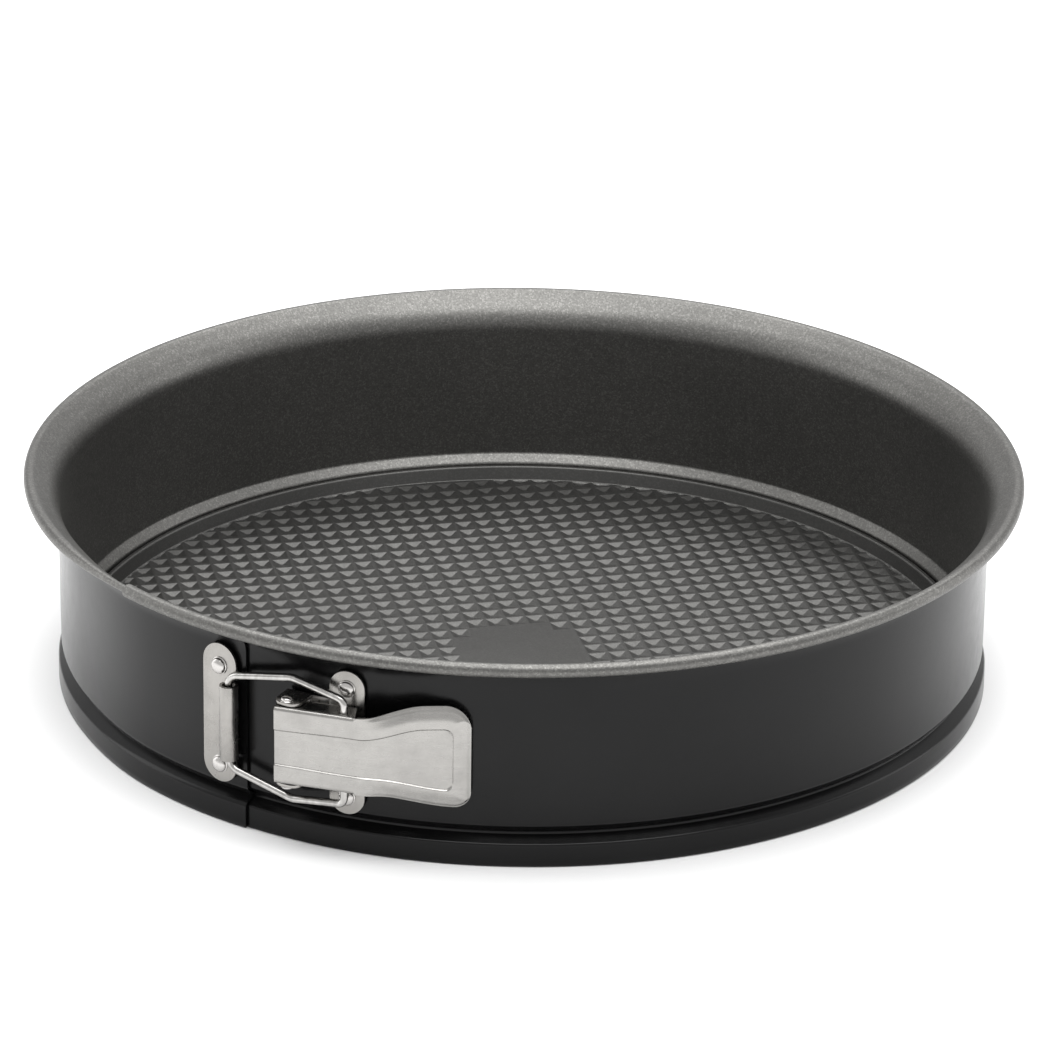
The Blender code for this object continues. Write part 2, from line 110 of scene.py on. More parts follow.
def coords(tree, scale, rotation=(0, 0, 0)):
    where = node(tree, "ShaderNodeTexCoord")
    mapping = node(tree, "ShaderNodeMapping")
    mapping.inputs["Scale"].default_value = scale
    mapping.inputs["Rotation"].default_value = rotation
    tree.links.new(where.outputs["Object"], mapping.inputs["Vector"])
    return mapping.outputs["Vector"]


def noise(tree, vector, scale, detail=2.0, roughness=0.5):
    made = node(tree, "ShaderNodeTexNoise", Scale=scale, Detail=detail, Roughness=roughness)
    tree.links.new(vector, made.inputs["Vector"])
    return made.outputs["Fac"]


def ramp(tree, value, stops):
    made = node(tree, "ShaderNodeValToRGB")
    bar = made.color_ramp
    while len(bar.elements) < len(stops):
        bar.elements.new(0.5)
    for element, (where, colour) in zip(bar.elements, stops):
        element.position = where
        element.color = (*colour, 1.0) if len(colour) == 3 else colour
    tree.links.new(value, made.inputs["Fac"])
    return made.outputs["Color"]


def span(tree, value, low, high, a=0.0, b=1.0):
    made = node(tree, "ShaderNodeMapRange")
    made.inputs["From Min"].default_value, made.inputs["From Max"].default_value = a, b
    made.inputs["To Min"].default_value, made.inputs["To Max"].default_value = low, high
    tree.links.new(value, made.inputs["Value"])
    return made.outputs["Result"]


def mix(tree, factor, a, b, blend="MIX"):
    made = node(tree, "ShaderNodeMix", data_type="RGBA", blend_type=blend)
    for socket, value in ((0, factor), (6, a), (7, b)):
        if isinstance(value, (int, float, tuple)):
            made.inputs[socket].default_value = value
        else:
            tree.links.new(value, made.inputs[socket])
    return made.outputs[2]


def bump(tree, shader, height, strength, distance):
    made = node(tree, "ShaderNodeBump", Strength=strength, Distance=distance)
    tree.links.new(height, made.inputs["Height"])
    tree.links.new(made.outputs["Normal"], shader.inputs["Normal"])


def flake_coat(name, dark, light, roughness, sparkle=0.3):
    """Dark grey non-stick coating with a fine metallic grain."""
    mat, tree, shader = new_material(name)
    flat = coords(tree, (1, 1, 1))
    cells = node(tree, "ShaderNodeTexVoronoi", Scale=2300.0)
    tree.links.new(flat, cells.inputs["Vector"])
    split = node(tree, "ShaderNodeSeparateColor")
    tree.links.new(cells.outputs["Color"], split.inputs["Color"])
    cloud = noise(tree, flat, 22.0, 4.0, 0.6)
    base = mix(tree, span(tree, cloud, 0.0, 1.0, 0.3, 0.7), (*dark, 1.0), (*light, 1.0))
    low, high = 1.0 - 0.75 * sparkle, 1.0 + sparkle
    grain = ramp(tree, split.outputs[0], [(0.0, (low * 0.5,) * 3), (0.75, (0.5,) * 3), (1.0, (high * 0.5,) * 3)])
    tree.links.new(mix(tree, 1.0, base, mix(tree, 1.0, grain, (2.0, 2.0, 2.0, 1.0), "MULTIPLY"), "MULTIPLY"), shader.inputs["Base Color"])
    shader.inputs["Metallic"].default_value = 1.0
    tree.links.new(span(tree, split.outputs[1], roughness - 0.03, roughness + 0.05), shader.inputs["Roughness"])
    bump(tree, shader, noise(tree, flat, 1300.0, 2.0), 0.12, 0.00012)
    return mat


def black_enamel():
    mat, tree, shader = new_material("black_enamel")
    flat = coords(tree, (1, 1, 1))
    cloud = noise(tree, flat, 30.0, 5.0, 0.6)
    tree.links.new(ramp(tree, cloud, [(0.3, (0.0022, 0.0022, 0.0023)), (0.7, (0.0042, 0.0042, 0.0044))]), shader.inputs["Base Color"])
    shader.inputs["Metallic"].default_value = 0.0
    shader.inputs["Specular IOR Level"].default_value = 0.2
    tree.links.new(span(tree, noise(tree, flat, 260.0, 3.0), 0.17, 0.27), shader.inputs["Roughness"])
    bump(tree, shader, noise(tree, flat, 420.0, 2.0), 0.05, 0.0002)
    return mat


def sheet_steel(name, colour, roughness, streak, tint=0.06):
    """Satin sheet: fine drawn streaks, faint smudges and small handling marks."""
    mat, tree, shader = new_material(name)
    lines = noise(tree, coords(tree, streak), 90.0, 3.0, 0.7)
    smudge = noise(tree, coords(tree, (1, 1, 1)), 85.0, 4.0, 0.65)
    low = tuple(c * (1.0 - 2.2 * tint) for c in colour)
    base = ramp(tree, smudge, [(0.25, low), (0.55, colour), (0.85, tuple(min(1.0, c * (1 + tint)) for c in colour))])
    tree.links.new(mix(tree, span(tree, lines, 0.0, 0.22), base, (*[c * 0.72 for c in colour], 1.0)), shader.inputs["Base Color"])
    shader.inputs["Metallic"].default_value = 1.0
    rough = mix(tree, 0.5, lines, smudge)
    tree.links.new(span(tree, rough, roughness - 0.06, roughness + 0.1, 0.3, 0.7), shader.inputs["Roughness"])
    bump(tree, shader, lines, 0.10, 0.0001)
    return mat


def bright_wire():
    mat, tree, shader = new_material("bright_wire")
    lines = noise(tree, coords(tree, (1, 1, 0.2)), 700.0, 2.0)
    tree.links.new(ramp(tree, lines, [(0.3, (0.36, 0.352, 0.34)), (0.7, (0.5, 0.49, 0.475))]), shader.inputs["Base Color"])
    shader.inputs["Metallic"].default_value = 1.0
    tree.links.new(span(tree, lines, 0.13, 0.26), shader.inputs["Roughness"])
    bump(tree, shader, lines, 0.05, 0.00005)
    return mat


COAT = flake_coat("grey_flake_coat", (0.138, 0.136, 0.13), (0.158, 0.155, 0.148), 0.43, 0.32)
FLOOR_COAT = flake_coat("floor_flake_coat", (0.08, 0.079, 0.0765), (0.092, 0.091, 0.088), 0.42, 0.15)
BLACK = black_enamel()
LEVER_STEEL = sheet_steel("lever_steel", (0.35, 0.341, 0.327), 0.24, (1.0, 1.0, 14.0), 0.1)
PLATE_STEEL = sheet_steel("plate_steel", (0.33, 0.319, 0.303), 0.27, (6.0, 6.0, 1.0), 0.11)
RIVET_STEEL = sheet_steel("rivet_steel", (0.52, 0.505, 0.49), 0.2, (3.0, 3.0, 3.0))
WIRE_STEEL = bright_wire()


# ------------------------------------------------------------------ mesh helpers
def finish_mesh(name, bm, materials, sharp=32.0, doubles=0.0):
    if doubles:
        bmesh.ops.remove_doubles(bm, verts=bm.verts, dist=doubles)
    bmesh.ops.recalc_face_normals(bm, faces=bm.faces)
    for vertex in bm.verts:
        vertex.co = vertex.co * MM
    mesh = bpy.data.meshes.new(name)
    bm.to_mesh(mesh)
    bm.free()
    for mat in materials:
        mesh.materials.append(mat)
    mesh.shade_smooth()
    mesh.set_sharp_from_angle(angle=math.radians(sharp))
    obj = bpy.data.objects.new(name, mesh)
    bpy.context.scene.collection.objects.link(obj)
    return obj


def apply_all(obj, sharp=None):
    """The object's evaluated mesh takes the place of its mesh and modifiers."""
    bpy.context.view_layer.update()
    graph = bpy.context.evaluated_depsgraph_get()
    mesh = bpy.data.meshes.new_from_object(obj.evaluated_get(graph))
    obj.modifiers.clear()
    obj.data = mesh
    if sharp:
        mesh.shade_smooth()
        mesh.set_sharp_from_angle(angle=math.radians(sharp))
    return obj


def bevel(obj, width, segments=2, angle=35.0):
    made = obj.modifiers.new("bevel", "BEVEL")
    made.width, made.segments = width * MM, segments
    made.limit_method, made.angle_limit = "ANGLE", math.radians(angle)
    made.harden_normals = False
    return made


def union(obj, others):
    for other in others:
        made = obj.modifiers.new("union", "BOOLEAN")
        made.operation, made.solver, made.object = "UNION", "EXACT", other
    apply_all(obj)
    for other in others:
        bpy.data.objects.remove(other, do_unlink=True)
    return obj


def polar(radius, degrees, z):
    a = math.radians(degrees)
    return Vector((radius * math.cos(a), radius * math.sin(a), z))


def offset_line(line, distance):
    out = []
    for i, point in enumerate(line):
        here = Vector(point)
        dirs = []
        if i:
            dirs.append((here - Vector(line[i - 1])).normalized())
        if i + 1 < len(line):
            dirs.append((Vector(line[i + 1]) - here).normalized())
        normals = [Vector((d.y, -d.x)) for d in dirs]
        mean = sum(normals, Vector((0.0, 0.0))).normalized()
        out.append(here + mean * (distance / max(0.5, mean.dot(normals[0]))))
    return out


def fillet(points, radii, pieces=6):
    """An open line with corner i rounded by about radii[i]."""
    out = [Vector(points[0])]
    for i in range(1, len(points) - 1):
        before, here, after = Vector(points[i - 1]), Vector(points[i]), Vector(points[i + 1])
        radius = radii[i] if isinstance(radii, (list, tuple)) else radii
        if radius <= 0.0:
            out.append(here)
            continue
        u, v = (before - here).normalized(), (after - here).normalized()
        half = u.angle(v) / 2
        reach = min(radius / math.tan(half), 0.48 * (before - here).length, 0.48 * (after - here).length)
        a, b = here + u * reach, here + v * reach
        for k in range(pieces + 1):
            t = k / pieces
            out.append((1 - t) ** 2 * a + 2 * t * (1 - t) * here + t * t * b)
    out.append(Vector(points[-1]))
    return out


def grid_faces(bm, rows, closed_u=False, closed_v=False, material=None):
    """Quads through rows of equal length; material(i, j) gives each quad's slot."""
    n, m = len(rows), len(rows[0])
    for i in range(n if closed_u else n - 1):
        for j in range(m if closed_v else m - 1):
            a, b = rows[i][j], rows[i][(j + 1) % m]
            c, d = rows[(i + 1) % n][(j + 1) % m], rows[(i + 1) % n][j]
            face = bm.faces.new((a, b, c, d))
            if material:
                face.material_index = material(i, j)


def lathe(profile, steps, matrix=None):
    bm = bmesh.new()
    rings = []
    for radius, height in profile:
        if radius < 1e-6:
            rings.append([bm.verts.new((0.0, 0.0, height))])
        else:
            rings.append([bm.verts.new(polar(radius, 360.0 * k / steps, height)) for k in range(steps)])
    for near, far in zip(rings, rings[1:]):
        for k in range(steps):
            m = (k + 1) % steps
            corners = [near[k % len(near)], near[m % len(near)], far[m % len(far)], far[k % len(far)]]
            unique = list(dict.fromkeys(corners))
            if len(unique) > 2:
                bm.faces.new(unique)
    if matrix is not None:
        bm.transform(matrix)
    return bm


def prism(outline, low, high, place):
    bm = bmesh.new()
    under = [bm.verts.new(place(x, y, low)) for x, y in outline]
    over = [bm.verts.new(place(x, y, high)) for x, y in outline]
    bm.faces.new(under)
    bm.faces.new(over)
    for i in range(len(outline)):
        j = (i + 1) % len(outline)
        bm.faces.new((under[i], under[j], over[j], over[i]))
    return bm


def radial_frame(azimuth, radius, z):
    out = polar(1.0, azimuth, 0.0)
    along = Vector((-out.y, out.x, 0.0))
    made = Matrix.Identity(4)
    for row in range(3):
        made[row][0], made[row][1], made[row][2] = along[row], (0.0, 0.0, 1.0)[row], out[row]
        made[row][3] = polar(radius, azimuth, z)[row]
    return made


def ease(t):
    t = min(1.0, max(0.0, t))
    return t * t * (3 - 2 * t)


# ------------------------------------------------------------------ ring
BAND_R, BAND_TOP, BEAD_R, BEAD_Z = 140.2, 6.5, 136.75, 9.15
WALL_FOOT, WALL_R0, WALL_R, FLARE_Z, FLARE_DEG = 12.3, 139.3, 139.6, 54.6, 50.0
CURL_C, CURL_R = (148.0, 64.2), 1.7
LAP_OFFSET, LAP_FROM, LAP_TO, NOTCH = 0.95, 236.0, 253.6, 253.85
LAP_RIM_Z = 61.6


def ring_line(rim):
    """Middle line of the ring's sheet, foot to lip."""
    foot = fillet(
        [
            (BAND_R, 0.0),
            (BAND_R, BAND_TOP),
            (BEAD_R + 0.1, BEAD_Z - 0.6),
            (BEAD_R + 0.1, BEAD_Z + 0.6),
            (WALL_R0, WALL_FOOT),
            (WALL_R0 + 0.2, 30.0),
        ],
        [0, 0.7, 0.6, 1.3, 1.5, 0],
        6,
    )
    line = [foot[0], Vector((BAND_R, 1.6)), Vector((BAND_R, 3.2)), *foot[1:-1]]
    line += [Vector((WALL_R0 + (WALL_R - WALL_R0) * (z - WALL_FOOT) / (FLARE_Z - WALL_FOOT), z)) for z in (20.0, 27.0, 34.0, 41.0, 48.0, 51.5)]
    a = math.radians(FLARE_DEG)
    meet = Vector((CURL_C[0] - CURL_R * math.cos(a), CURL_C[1] + CURL_R * math.sin(a)))
    rise, run = meet.y - FLARE_Z, meet.x - WALL_R
    one = 1.0 - math.cos(a)
    rho = (rise * math.sin(a) - run * math.cos(a)) / (math.sin(a) ** 2 - one * math.cos(a))
    line += [Vector((WALL_R + rho * (1 - math.cos(a * k / 14)), FLARE_Z + rho * math.sin(a * k / 14))) for k in range(15)]
    if rim:
        last = line[-1]
        line += [last.lerp(meet, 0.33), last.lerp(meet, 0.66)]
        start = 180.0 - FLARE_DEG
        for k in range(31):
            b = math.radians(start - 341.0 * k / 30)
            shrink = 0.0 if k < 22 else 0.32 * (k - 22) / 8
            line.append(Vector((CURL_C[0] + (CURL_R - shrink) * math.cos(b), CURL_C[1] + (CURL_R - shrink) * math.sin(b))))
    else:
        line = [p for p in line if p.y < LAP_RIM_Z - 0.3]
        slope = (line[-1] - line[-2]).normalized()
        line.append(line[-1] + slope * ((LAP_RIM_Z - line[-1].y) / slope.y))
    return line


FULL, SHORT = ring_line(True), ring_line(False)
while len(SHORT) < len(FULL):
    a, b = SHORT[-2], SHORT[-1]
    SHORT.insert(len(SHORT) - 1, a.lerp(b, 1.0 / (len(FULL) - len(SHORT) + 2)))


def section(line, shift):
    out = offset_line(line, shift + SHEET / 2)
    inn = offset_line(line, shift - SHEET / 2)
    out[0].y = inn[0].y = 0.0
    # rounded sheet edge at the foot
    foot = [Vector((out[0].x - 0.12, 0.0)), Vector((inn[0].x + 0.12, 0.0))]
    out[0] = Vector((out[0].x, 0.15))
    inn[0] = Vector((inn[0].x, 0.15))
    return out, list(reversed(inn)), [foot[1], foot[0]]


def ring_piece(name, azimuths, describe):
    bm = bmesh.new()
    rows, count = [], 0
    for a in azimuths:
        line, shift = describe(a)
        out, inn, foot = section(line, shift)
        count = len(out)
        rows.append([bm.verts.new(polar(p.x, a, p.y)) for p in out + inn + foot])
    # slot 0 black outside, slot 1 grey coat inside and over the rolled lip
    grid_faces(bm, rows, closed_v=True, material=lambda i, j: 0 if j < count - 1 or j >= 2 * count else 1)
    for row in (rows[0], rows[-1]):
        for i in range(count - 1):
            bm.faces.new((row[i], row[i + 1], row[2 * count - 2 - i], row[2 * count - 1 - i]))
        bm.faces.new((row[0], row[2 * count - 1], row[2 * count], row[2 * count + 1]))
    return finish_mesh(name, bm, [BLACK, COAT], 40.0)


def lapped(azimuth):
    share = ease((azimuth - LAP_FROM) / (LAP_TO - LAP_FROM))
    return (FULL if azimuth <= NOTCH + 1e-6 else SHORT), LAP_OFFSET * share


def fine(low, high, step=0.75, extra=()):
    count = max(1, round((high - low) / step))
    return sorted({round(low + (high - low) * k / count, 6) for k in range(count + 1)} | set(extra))


band_left = ring_piece("band_left_half", fine(90.0, 270.0, 0.75, (90.02, NOTCH, NOTCH + 0.04, 269.93)), lapped)
band_right = ring_piece("band_right_half", fine(-106.0, 90.0, 0.75, (-105.93, 89.98)), lambda a: (FULL, 0.0))


# ------------------------------------------------------------------ base
FLOOR_TOP, FLOOR_R, RIM_TOP, RIM_IN_R, RIM_OUT_R, SKIRT_R, SKIRT_KNEE = 4.4, 132.7, 9.7, 133.9, 135.6, 138.9, 5.7
FLOOR_DISH = 1.1  # the floor's edge stands this much higher than its middle
PITCH, LATTICE_DEG, PATCH_R = 6.27, 46.6, 21.6
DIMPLE = [(2.76, 0.0), (2.56, -0.045), (0.62, -0.64), (0.36, -0.69)]
FLOOR_EDGE = 132.35


def clip(polygon, normal, limit):
    """The part of a polygon where normal . point <= limit; height follows each edge."""
    out = []
    for i, here in enumerate(polygon):
        after = polygon[(i + 1) % len(polygon)]
        a = normal.x * here.x + normal.y * here.y - limit
        b = normal.x * after.x + normal.y * after.y - limit
        if a <= 0:
            out.append(here)
        if (a < 0 < b) or (b < 0 < a):
            out.append(here.lerp(after, a / (a - b)))
    return out


def floor_polygons():
    """The pressed floor as flat polygons: a square lattice of sunk square dimples, cut off by the round edge, plain in the middle."""
    spin = Matrix.Rotation(math.radians(LATTICE_DEG), 2)
    sides = 360
    half_cell = PITCH / 2
    found = []
    reach = int(FLOOR_EDGE / PITCH) + 2
    edge_normals = [Vector((math.cos(2 * math.pi * (k + 0.5) / sides), math.sin(2 * math.pi * (k + 0.5) / sides))) for k in range(sides)]
    limit = FLOOR_EDGE * math.cos(math.pi / sides)
    for i in range(-reach, reach):
        for j in range(-reach, reach):
            centre = Vector(((i + 0.5) * PITCH, (j + 0.5) * PITCH))
            if centre.length > FLOOR_EDGE + 5.0:
                continue
            plain = centre.length < PATCH_R - 2.6
            rings = [(half_cell, 0.0), *DIMPLE]
            squares = []
            for half, depth in rings:
                square = []
                for sx, sy in ((1, 1), (-1, 1), (-1, -1), (1, -1)):
                    p = spin @ (centre + Vector((sx * half, sy * half)))
                    sink = 0.0 if plain else depth
                    square.append(Vector((p.x, p.y, FLOOR_TOP + FLOOR_DISH * (p.length / FLOOR_EDGE) ** 2 + sink)))
                squares.append(square)
            polygons = [squares[-1]]
            for big, small in zip(squares, squares[1:]):
                for k in range(4):
                    m = (k + 1) % 4
                    polygons.append([big[k], big[m], small[m], small[k]])
            crossing = centre.length > FLOOR_EDGE - 5.0
            for polygon in polygons:
                if crossing:
                    middle = sum(polygon, Vector((0, 0, 0))) / 4
                    around = math.degrees(math.atan2(middle.y, middle.x))
                    for k in range(-4, 5):
                        which = int(math.floor(around / (360.0 / sides))) + k
                        polygon = clip(polygon, edge_normals[which % sides], limit)
                        if len(polygon) < 3:
                            break
                if len(polygon) >= 3:
                    found.append(polygon)
    return found


def base_piece():
    bm = bmesh.new()
    polygons = floor_polygons()
    for polygon in polygons:
        try:
            bm.faces.new([bm.verts.new(p) for p in polygon])
        except ValueError:
            pass
    bmesh.ops.remove_doubles(bm, verts=bm.verts, dist=0.004)
    bmesh.ops.dissolve_degenerate(bm, edges=bm.edges, dist=0.002)
    top_faces = list(bm.faces)
    for face in top_faces:
        if face.normal.z < 0:
            face.normal_flip()
    rim = [e for e in bm.edges if len(e.link_faces) == 1]
    loop = sorted({v for e in rim for v in e.verts}, key=lambda v: math.atan2(v.co.y, v.co.x))
    angles = [math.degrees(math.atan2(v.co.y, v.co.x)) for v in loop]
    heights = [v.co.z - FLOOR_TOP for v in loop]
    outer = fillet(
        [
            (FLOOR_EDGE, FLOOR_TOP + FLOOR_DISH),
            (FLOOR_R + 0.15, FLOOR_TOP + FLOOR_DISH + 0.05),
            (RIM_IN_R + 0.2, RIM_TOP + 0.05),
            (RIM_OUT_R + 0.15, RIM_TOP),
            (RIM_OUT_R + 0.5, 7.3),
            (SKIRT_R, SKIRT_KNEE),
            (SKIRT_R, 0.0),
        ],
        [0, 0.5, 0.8, 0.8, 1.0, 1.0, 0],
        5,
    )[1:]
    inner = [p for p in offset_line([Vector((FLOOR_EDGE, FLOOR_TOP + FLOOR_DISH)), *outer], SHEET)[1:]]
    inner[-1].y = 0.0
    # rounded lower edge of the skirt
    profile = outer[:-1] + [Vector((SKIRT_R, 0.15)), Vector((SKIRT_R - 0.12, 0.0)), Vector((SKIRT_R - SHEET + 0.12, 0.0)), Vector((SKIRT_R - SHEET, 0.15))] + inner[:-1][::-1]
    rows = [loop]
    for k, p in enumerate(profile):
        rows.append([bm.verts.new(polar(p.x, a, p.y)) for a in angles])
    # the floor's underside follows its top, one sheet lower
    twin = {}
    for face in top_faces:
        corners = []
        for v in face.verts:
            if v not in twin:
                twin[v] = bm.verts.new((v.co.x, v.co.y, v.co.z - SHEET))
            corners.append(twin[v])
        bm.faces.new(corners[::-1])
    rows.append([twin[v] for v in loop])
    grid_faces(bm, rows, closed_v=True)
    obj = finish_mesh("base_pan", bm, [FLOOR_COAT], 60.0)
    for polygon in obj.data.polygons:
        # each dimple's faces stay crisp
        if abs(polygon.normal.z) > 0.9 and math.hypot(polygon.center.x, polygon.center.y) < (FLOOR_EDGE - 0.05) * MM:
            polygon.use_smooth = False
    return obj


base_pan = base_piece()


# ------------------------------------------------------------------ catch plate
CATCH_HALF_W, CATCH_Z = 6.05, (12.9, 55.9)
CURL_Z, CURL_BORE = (21.9, 44.9), 1.86
catch_mid = (CATCH_Z[0] + CATCH_Z[1]) / 2
catch_frame = radial_frame(CATCH_AZ, CATCH_R, catch_mid)


def catch_outline():
    half_h, r = (CATCH_Z[1] - CATCH_Z[0]) / 2, CATCH_HALF_W
    points = [(r * math.cos(math.pi * k / 24), half_h - r + r * math.sin(math.pi * k / 24)) for k in range(25)]
    points += [(-r * math.cos(math.pi * k / 24), -half_h + r - r * math.sin(math.pi * k / 24)) for k in range(25)]
    low, high = CURL_Z[0] - 1.3 - catch_mid, CURL_Z[1] + 1.3 - catch_mid
    cut = fillet([(r, low), (2.2, low), (2.2, high), (r, high)], [0, 0.9, 0.9, 0], 5)
    return points + [tuple(p) for p in cut]


catch = finish_mesh("catch_sheet", prism(catch_outline(), 0.0, PLATE_T, lambda x, y, h: catch_frame @ Vector((x, y, h))), [PLATE_STEEL])
axis = catch_frame.inverted() @ Vector((CATCH[0], CATCH[1], catch_mid))
tongue_t = PLATE_T + 0.06
roll = CURL_BORE + tongue_t / 2
tongue = [Vector((1.0, PLATE_T / 2)), Vector((axis.x - 0.4, PLATE_T / 2))]
for k in range(0, 37):
    b = -math.pi / 2 + math.radians(286.0) * k / 36
    tongue.append(Vector((axis.x + roll * math.cos(b), axis.z + roll * math.sin(b))))
side_a, side_b = offset_line(tongue, tongue_t / 2), offset_line(tongue, -tongue_t / 2)
bm = bmesh.new()
rows = []
for z in (CURL_Z[0], CURL_Z[0] + 8.0, CURL_Z[1] - 8.0, CURL_Z[1]):
    rows.append([bm.verts.new(catch_frame @ Vector((p.x, z - catch_mid, p.y))) for p in side_a + side_b[::-1]])
grid_faces(bm, rows, closed_v=True)
many = len(side_a)
for row in (rows[0], rows[-1]):
    for i in range(many - 1):
        bm.faces.new((row[i], row[i + 1], row[2 * many - 2 - i], row[2 * many - 1 - i]))
union(catch, [finish_mesh("tongue_part", bm, [PLATE_STEEL])])
bevel(catch, 0.16, 3, 40.0)
apply_all(catch, 30.0)


# ------------------------------------------------------------------ wire bail
def tube(name, path, radius, sides, mat):
    """A round rod on a smooth path, frame carried along it, ends slightly domed."""
    bm = bmesh.new()
    dirs = []
    for i in range(len(path)):
        a, b = path[max(0, i - 1)], path[min(len(path) - 1, i + 1)]
        dirs.append((b - a).normalized())
    u = dirs[0].orthogonal().normalized()
    rows = []

    def ring(centre, direction, r):
        nonlocal u
        u = (u - direction * u.dot(direction)).normalized()
        v = direction.cross(u)
        return [bm.verts.new(centre + (u * math.cos(2 * math.pi * k / sides) + v * math.sin(2 * math.pi * k / sides)) * r) for k in range(sides)]

    for back, r in ((0.0, 0.55), (0.12, 0.82), (0.3, 0.96)):
        rows.append(ring(path[0] + dirs[0] * (back - 0.0), dirs[0], radius * r))
    for p, d in zip(path[1:-1], dirs[1:-1]):
        rows.append(ring(p, d, radius))
    for back, r in ((0.3, 0.96), (0.12, 0.82), (0.0, 0.55)):
        rows.append(ring(path[-1] - dirs[-1] * back, dirs[-1], radius * r))
    grid_faces(bm, rows, closed_v=True)
    bm.faces.new(rows[0])
    bm.faces.new(rows[-1])
    return finish_mesh(name, bm, [mat], 60.0)


def densify(points, gap):
    out = [points[0]]
    for a, b in zip(points, points[1:]):
        n = max(1, int(math.ceil((b - a).length / gap)))
        out += [a.lerp(b, k / n) for k in range(1, n + 1)]
    return [p for i, p in enumerate(out) if not i or (p - out[i - 1]).length > 1e-4]


KNEE_X, SPREAD, AT_CATCH, AT_LEVER, TIP, WIRE_Z = 17.6, 18.9, 14.2, 16.0, 10.6, 33.7
share = (KNEE_X - CATCH[0]) / (WIRE_END[0] - CATCH[0])
knee = (KNEE_X, CATCH[1] + share * (WIRE_END[1] - CATCH[1]))
corner = [
    (*WIRE_END, WIRE_Z - TIP),
    (*WIRE_END, WIRE_Z - AT_LEVER),
    (*knee, WIRE_Z - SPREAD),
    (*CATCH, WIRE_Z - AT_CATCH),
    (*CATCH, WIRE_Z + AT_CATCH),
    (*knee, WIRE_Z + SPREAD),
    (*WIRE_END, WIRE_Z + AT_LEVER),
    (*WIRE_END, WIRE_Z + TIP),
]
wire = tube("wire_rod", densify(fillet(corner, [0, 2.6, 6.0, 4.4, 4.4, 6.0, 2.6, 0], 14), 1.5), 1.15, 28, WIRE_STEEL)


# ------------------------------------------------------------------ hinge plate
HINGE_LEFT_AZ, EAR_IN, EAR_OUT, EAR_HALF, EAR_NOSE, PLATE_HALF = -84.0, 12.25, 13.05, 4.4, 2.1, 12.85
PER_DEG = math.radians(1.0) * HINGE_R


def hinge_half(azimuth):
    s = math.radians(azimuth - LOBE_AZ) * HINGE_R
    if abs(s) < LOBE_R - 1e-6:
        return LOBE_Z + math.sqrt(LOBE_R**2 - s * s)
    return LOBE_Z if abs(s) < LOBE_R + 1e-6 else PLATE_HALF


stations = [HINGE_LEFT_AZ + (LOBE_AZ - LOBE_R / PER_DEG - 0.04 - HINGE_LEFT_AZ) * k / 8 for k in range(9)]
stations += [LOBE_AZ - LOBE_R / PER_DEG * math.cos(math.pi * k / 40) for k in range(41)]
bm = bmesh.new()
rows = []
for a in stations:
    h = hinge_half(a)
    rows.append([bm.verts.new(polar(r, a, MID_Z + z)) for r, z in ((HINGE_R + PLATE_T, h), (HINGE_R + PLATE_T, -h), (HINGE_R, -h), (HINGE_R, h))])
grid_faces(bm, rows, closed_v=True)
bm.faces.new(rows[0])
bm.faces.new(rows[-1])
hinge = finish_mesh("hinge_sheet", bm, [PLATE_STEEL])
pivot_out = Vector(PIVOT).normalized()
pivot_along = Vector((-pivot_out.y, pivot_out.x))
root = HINGE_R + 0.35 - Vector(PIVOT).length
EAR_LEFT = 3.7
ear_line = [(-EAR_LEFT, root), (EAR_HALF, root)]
ear_line += [(EAR_HALF - 3.0 + 3.0 * math.cos(math.pi / 2 * k / 12), EAR_NOSE - 3.0 + 3.0 * math.sin(math.pi / 2 * k / 12)) for k in range(13)]
ear_line += [(-EAR_LEFT + 3.0 - 3.0 * math.sin(math.pi / 2 * k / 12), EAR_NOSE - 3.0 + 3.0 * math.cos(math.pi / 2 * k / 12)) for k in range(13)]


def on_ear(x, y, z):
    p = Vector(PIVOT) + pivot_along * x + pivot_out * y
    return Vector((p.x, p.y, MID_Z + z))


union(hinge, [finish_mesh("ear_part_" + str(k), prism(ear_line, low, high, on_ear), [PLATE_STEEL]) for k, (low, high) in enumerate(((EAR_IN, EAR_OUT), (-EAR_OUT, -EAR_IN)))])
bevel(hinge, 0.15, 2, 40.0)
apply_all(hinge, 30.0)


# ------------------------------------------------------------------ lever
LEVER_T, CHANNEL_HALF, HANDLE_HALF, FLANGE_DEPTH = 0.9, 11.9, 15.8, 7.0
START, NECK, END = Vector((15.8, -151.0)), Vector((40.4, -143.8)), Vector((67.6, -126.6))
TOP_CORNER, LOW_CORNER = 7.4, 4.6


def lever_plan(s):
    """Point and inward normal on the lever's outer face, s along it."""
    length = (NECK - START).length
    along = (NECK - START) / length
    reach = (END - NECK).length
    t_a, t_b = along * reach, Vector((0.895, 0.446)).normalized() * reach

    def cubic(t):
        return (2 * t**3 - 3 * t**2 + 1) * NECK + (t**3 - 2 * t**2 + t) * t_a + (-2 * t**3 + 3 * t**2) * END + (t**3 - t**2) * t_b

    if s <= length:
        return START + along * s, Vector((-along.y, along.x))
    t = (s - length) / LEVER_ARC
    d = (cubic(min(1.0, t) + 1e-4) - cubic(min(1.0, t) - 1e-4)).normalized()
    return cubic(t), Vector((-d.y, d.x))


CHANNEL_LENGTH = (NECK - START).length
LEVER_ARC = 1.0
LEVER_ARC = sum((lever_plan(CHANNEL_LENGTH + (k + 1) / 200)[0] - lever_plan(CHANNEL_LENGTH + k / 200)[0]).length for k in range(200))
LEVER_TOTAL = CHANNEL_LENGTH + LEVER_ARC


